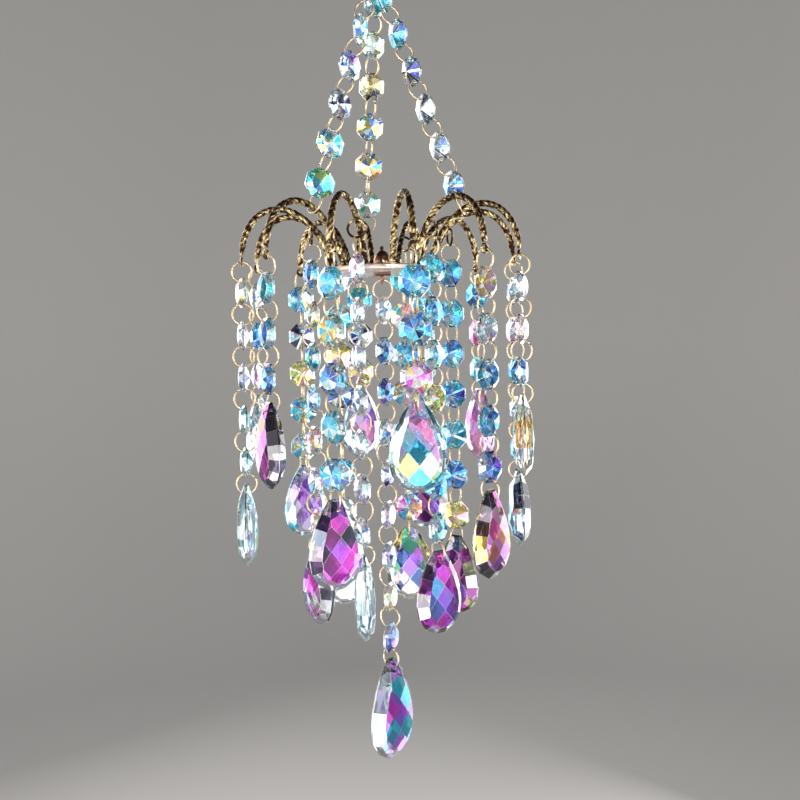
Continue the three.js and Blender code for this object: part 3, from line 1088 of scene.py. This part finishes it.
def pear_half_width(down, width):
    """Half the pear's width at this share of its length, counted from the tip."""
    if down < DROP_WIDEST:
        swell = math.sin(math.pi / 2 * (down / DROP_WIDEST) ** DROP_SWELL)
        return DROP_TIP / 2 + (width - DROP_TIP) / 2 * swell
    return width / 2 * math.sqrt(1 - ((down - DROP_WIDEST) / (1 - DROP_WIDEST)) ** DROP_ROUND)


def rim_planes(length, width):
    """The thin edge all round the pear, and the bezel facets in front of it and behind it."""
    corners = [Vector((pear_half_width(down, width), 0, -down * length)) for down in RIM_CORNERS]
    edges = [(Vector((0, 0, 1)), Vector((0, 0, 0))), (Vector((0, 0, -1)), Vector((0, 0, -length)))]
    for upper, lower in zip(corners, corners[1:]):
        along = lower - upper
        outward = Vector((-along.z, 0, along.x)).normalized()
        edges.append((outward, upper))
        edges.append((Vector((-outward.x, 0, outward.z)), Vector((-upper.x, 0, upper.z))))
    planes = []
    for outward, point in edges:
        planes.append((outward, point))
        for facing in (-1, 1):
            forward = Vector((0, facing, 0))
            bezel = outward * math.cos(DROP_BEZEL) + forward * math.sin(DROP_BEZEL)
            planes.append((bezel, point + forward * DROP_EDGE))
    return planes


def diamond_planes(length, width, depth, facing):
    """Planes that touch a long lens at staggered points, so that they meet in diamonds.

    The points' places are shares of the length down and of the width to each side.
    """
    half = Vector((width * LENS_HALF_WIDTH, depth / 2, length * LENS_HALF_LENGTH))
    middle = -length * LENS_MIDDLE
    planes = []
    for down, across in DIAMOND_ROWS:
        for side in ((-1, 1) if across else (1,)):
            x = side * across * width
            z = -down * length
            inside = 1 - (x / half.x) ** 2 - ((z - middle) / half.z) ** 2
            y = facing * half.y * math.sqrt(max(inside, LENS_LEAST))
            normal = Vector((x / half.x ** 2, y / half.y ** 2, (z - middle) / half.z ** 2))
            planes.append((normal, Vector((x, y, z))))
    return planes


def drop_planes(length, width, depth):
    """All facets of a pear drop whose tip is at the origin and which hangs along -Z."""
    planes = rim_planes(length, width)
    for facing in (-1, 1):
        planes += diamond_planes(length, width, depth, facing)
    return planes


DROP_CUT = drilled(
    cut_stone(DROP_BLOCK, drop_planes(DROP_LENGTH, DROP_WIDTH, DROP_DEPTH)),
    [(0, -DROP_HOLE_BELOW_TIP)], DROP_HOLE_RADIUS,
)
CENTRE_DROP_CUT = drilled(
    cut_stone(DROP_BLOCK, drop_planes(CENTRE_DROP_LENGTH, CENTRE_DROP_WIDTH, CENTRE_DROP_DEPTH)),
    [(0, -DROP_HOLE_BELOW_TIP)], DROP_HOLE_RADIUS,
)
DROP_CRYSTAL = coated_crystal("drop_crystal", bands=60, drift=0.16)


def coat(cut, colours, rim_colours, chance):
    """A colour for each face of one drop. Facets that hardly face front or back are the rim.

    A front facet and the back facet behind it share their colour, as light passes through both.
    """
    chosen = {}
    marks = []
    for normal in cut[2]:
        if normal is None:
            marks.append(STONE_COLOURS["clear"])
            continue
        number = tuple(round(value * FACET_SORTING) for value in (normal.x, abs(normal.y), normal.z))
        if number not in chosen:
            names = rim_colours if abs(normal.y) < DROP_RIM_SLOPE else colours
            chosen[number] = STONE_COLOURS[chance.choice(names)]
        marks.append(chosen[number])
    return marks


def hang_drop(name, cut, top, turn, colours, rim, seed):
    chance = random.Random(seed)
    shell = Shell()
    set_stone(shell, cut, upright(top, turn), coat(cut, colours, rim, chance))
    piece = make_piece(f"{name}_crystal", shell, DROP_CRYSTAL, [name], smooth=False)
    colour_facets(piece, shell)


OUTER_DROP_COLOURS = [
    (["pink", "lime", "aqua", "lilac", "ice", "pink", "lime", "gold"], ["aqua", "ice", "clear"]),
    (["magenta", "pink", "orange", "violet", "pink", "ink"], ["clear", "ink", "gold"]),
    (["clear", "ice", "green", "clear"], ["clear", "clear", "orange"]),
    (["clear", "ice", "teal", "clear"], ["clear", "ice", "ink"]),
    (["pink", "magenta", "lilac", "pink"], ["pink", "lilac", "clear"]),
    (["violet", "navy", "blue", "plum"], ["clear", "ice"]),
    (["pink", "violet", "clear", "lilac"], ["clear", "ice"]),
    (["violet", "navy", "magenta", "violet", "lilac"], ["aqua", "ice", "clear"]),
    (["clear", "ice", "lilac", "blue"], ["clear", "ice"]),
    (["aqua", "orange", "ice", "clear"], ["clear", "ice", "clear"]),
    (["magenta", "plum", "magenta", "orange", "magenta", "ink"], ["clear", "ink", "ink"]),
    (["magenta", "plum", "violet", "plum", "magenta", "ink"], ["clear", "clear", "ice", "ink"]),
]
for index, ((beads, _, facing, _), (colours, rim)) in enumerate(zip(OUTER_STRANDS, OUTER_DROP_COLOURS)):
    below = EYE_HEIGHT - EYE_TO_RING - beads * BEAD_PITCH
    top = in_crown(arm_angle(index), ARM_REACH, 0, below)
    turn = math.radians(facing)
    hang_drop(f"outer_drop_{index + 1:02d}", DROP_CUT, top, turn, colours, rim, OUTER_DROP_SEED + index)

INNER_DROP_COLOURS = [
    (["magenta", "magenta", "navy", "violet", "magenta", "aqua"], ["clear", "ink", "clear", "plum"]),
    (["violet", "navy", "plum", "violet", "lilac"], ["clear", "lime", "plum"]),
    (["green", "navy", "pink", "lilac", "green", "violet"], ["clear", "gold", "clear"]),
    (["clear", "violet", "ice"], ["clear", "ice"]),
    (["magenta", "plum", "clear", "pink", "magenta"], ["clear", "clear", "ink"]),
    (["clear", "ice", "clear", "lilac"], ["clear", "ice"]),
]
for index, ((_, facing, _), (colours, rim)) in enumerate(zip(INNER_STRANDS, INNER_DROP_COLOURS)):
    below = LOOP_CENTRE - LOOP_TO_RING - INNER_BEADS * BEAD_PITCH
    top = in_crown(arm_angle(2 * index + 1), LOOP_REACH, 0, below)
    turn = math.radians(facing)
    hang_drop(f"inner_drop_{index + 1:02d}", DROP_CUT, top, turn, colours, rim, INNER_DROP_SEED + index)

hang_drop(
    "centre_drop", CENTRE_DROP_CUT, centre_top - Vector((0, 0, CENTRE_BEADS * BEAD_PITCH)), CENTRE_DROP_TURN,
    ["magenta", "violet", "plum", "magenta", "ice", "teal"], ["clear", "clear", "ice"], CENTRE_DROP_SEED,
)

# The chains
# Three strands of six beads each run from the top ring to every fourth arm. Their end rings go
# round the top ring's wire and round the arm.

CHAIN_BEADS = 6
CHAIN_REACH = 41.0
CHAIN_SPACING = 4.6
CHAIN_TOP_TO_RING = 2.807
CHAIN_SEED = 95

# Each chain's name, its arm, its place along the ring, the way its beads face and the turn from
# each bead to the next in degrees, and its beads' colours.
CHAINS = [
    ("chain_right", 2, 0, 120, 0, [CYANS, TEALS, SMOKES, SMOKES, SMOKES, ["blue", "navy", "clear", "ice"]]),
    ("chain_back", 6, 1, 55, -10, [
         CYANS, ["lime", "clear", "clear", "ice"], ["gold", "ink", "clear", "gold"],
         ["blue", "clear", "gold", "navy", "ice"], ["blue", "navy", "orange", "gold", "clear"],
         ["green", "clear", "ice", "clear"],
     ]),
    ("chain_left", 10, -1, 76, -9, [
         CYANS, ["clear", "blue", "gold", "clear"], ["violet", "lilac", "blue", "clear"], SMOKES,
         ["teal", "blue", "lilac", "lime", "clear"], ["blue", "teal", "aqua", "green", "lime"],
     ]),
]
chain_foot = arm_point(share_at_reach(CHAIN_REACH))
for number, (name, arm, place, facing, twist, palette) in enumerate(CHAINS):
    angle = arm_angle(arm)
    along = place * CHAIN_SPACING
    top = Vector((0, along, top_ring_middle - math.sqrt(TOP_RING_RADIUS ** 2 - along ** 2)))
    foot = in_crown(angle, chain_foot.x, 0, chain_foot.y)
    up = (top - foot).normalized()
    tilt = Vector((0, 0, 1)).rotation_difference(up).to_matrix().to_4x4()
    bead_turn = math.radians(facing)
    hang = Matrix.Translation(top - up * CHAIN_TOP_TO_RING) @ tilt @ Matrix.Rotation(bead_turn, 4, "Z")
    turns = (math.radians(90) - bead_turn, angle + math.radians(90) - bead_turn)
    string(name, hang, CHAIN_BEADS, turns, palette, CHAIN_SEED + number, math.radians(twist))

# The camera
# It stands level, a little right of the suncatcher's axis and lower than the hub, close enough
# for the front strands to look larger than those behind.

PHOTO_SIZE = 800
CAMERA_PIXELS = 900
CAMERA_ROW = 350
CAMERA_PLACE = (7.8, -440.0, -40.2)
CAMERA_AXIS_COLUMN = 384
CAMERA_ROLL = math.radians(1.3)
SENSOR = 36.0
NEAREST = 0.01
FARTHEST = 20

camera = bpy.data.cameras.new("viewer")
camera.sensor_width = SENSOR
camera.lens = CAMERA_PIXELS / PHOTO_SIZE * SENSOR
camera.shift_y = (CAMERA_ROW - PHOTO_SIZE / 2) / PHOTO_SIZE
camera.clip_start = NEAREST
camera.clip_end = FARTHEST
viewer = place_object("viewer", camera)
across, back, height = CAMERA_PLACE
viewer.location = Vector((across, back, hub_top + height)) * MM
axis_pixels = CAMERA_AXIS_COLUMN - PHOTO_SIZE / 2
swing = math.atan2(-across, -back) - math.atan2(axis_pixels, CAMERA_PIXELS)
level = Matrix.Rotation(math.radians(90), 3, "X")
roll = Matrix.Rotation(-CAMERA_ROLL, 3, "Z")
viewer.rotation_euler = (Matrix.Rotation(-swing, 3, "Z") @ level @ roll).to_euler()
bpy.context.scene.camera = viewer

# The studio
# A round pale sweep, floor and wall in one, with large soft lamps in front, at the left and
# behind, and one small lamp for sparkle. The floor glows faintly, to lift the shadows.

FLOOR_HEIGHT = -1.1
SWEEP_RADIUS = 3.0
SWEEP_CURVE = 0.9
SWEEP_TOP = 3.2
SWEEP_MIDDLE = 0.5
CURVE_STEPS = 12
SWEEP_SIDES = 96
SWEEP_COLOUR = (0.48, 0.47, 0.46, 1)
SWEEP_ROUGHNESS = 0.9
GLOW_COLOUR = (1.0, 0.98, 0.96, 1)
GLOW_STRENGTH = 0.10
AIR_COLOUR = (0.9, 0.93, 1, 1)
AIR_STRENGTH = 0.12


def sweep_profile():
    curve = []
    for step in range(CURVE_STEPS + 1):
        turn = math.pi / 2 * step / CURVE_STEPS
        out = SWEEP_RADIUS - SWEEP_CURVE + SWEEP_CURVE * math.sin(turn)
        curve.append((out, FLOOR_HEIGHT + SWEEP_CURVE * (1 - math.cos(turn))))
    return [(SWEEP_MIDDLE, FLOOR_HEIGHT), *curve, (SWEEP_RADIUS, SWEEP_TOP)]


def build_sweep():
    sides = SWEEP_SIDES
    rows = sweep_profile()
    turns = [2 * math.pi * side / sides for side in range(sides)]
    points = [(0, 0, FLOOR_HEIGHT)]
    for radius, height in rows:
        points += [(radius * math.cos(turn), radius * math.sin(turn), height) for turn in turns]
    faces = [(0, 1 + side, 1 + (side + 1) % sides) for side in range(sides)]
    for row in range(len(rows) - 1):
        for side in range(sides):
            other = (side + 1) % sides
            here = 1 + row * sides
            faces.append((here + side, here + sides + side, here + sides + other, here + other))
    mesh = bpy.data.meshes.new("sweep")
    mesh.from_pydata(points, [], faces)
    mesh.polygons.foreach_set("use_smooth", [True] * len(mesh.polygons))
    material, tree = new_material("studio_sweep")
    feed(tree, tree.nodes["Principled BSDF"], {
        "Base Color": SWEEP_COLOUR,
        "Roughness": SWEEP_ROUGHNESS,
        "Emission Color": GLOW_COLOUR,
        "Emission Strength": GLOW_STRENGTH,
    })
    mesh.materials.append(material)
    return place_object("sweep", mesh)


build_sweep()

# Each lamp's name, place, width and power in metres and watts, and colour.
LAMPS = [
    ("key", (-0.9, -1.1, -0.45), 1.4, 10, (1, 0.97, 0.92)),
    ("fill", (1.2, -0.9, -0.5), 1.4, 9, (0.95, 0.97, 1)),
    ("left_side", (-1.5, -0.3, -0.25), 1.0, 6, (1, 0.99, 0.97)),
    ("low_front", (0.1, -1.0, -0.72), 0.7, 6, (1, 0.98, 0.95)),
    ("sparkle", (0.35, -1.0, 0.05), 0.08, 2, (1, 1, 1)),
    ("back_left", (-0.9, 1.1, 0.1), 1.3, 15, (1, 0.98, 0.95)),
    ("back_right", (1.0, 0.9, -0.3), 1.3, 17, (1, 0.98, 0.95)),
]
LAMP_TARGET = Vector((0, 0, -0.24))
for name, place, size, power, colour in LAMPS:
    light = bpy.data.lights.new(name, "AREA")
    light.size = size
    light.energy = power
    light.color = colour
    lamp = place_object(name, light)
    lamp.location = place
    lamp.rotation_euler = (LAMP_TARGET - lamp.location).to_track_quat("-Z", "Y").to_euler()

world = bpy.data.worlds.new("studio_air")
world.use_nodes = True
air = world.node_tree
feed(air, air.nodes["Background"], {"Color": AIR_COLOUR, "Strength": AIR_STRENGTH})
bpy.context.scene.world = world
bpy.context.scene.view_settings.view_transform = "Standard"
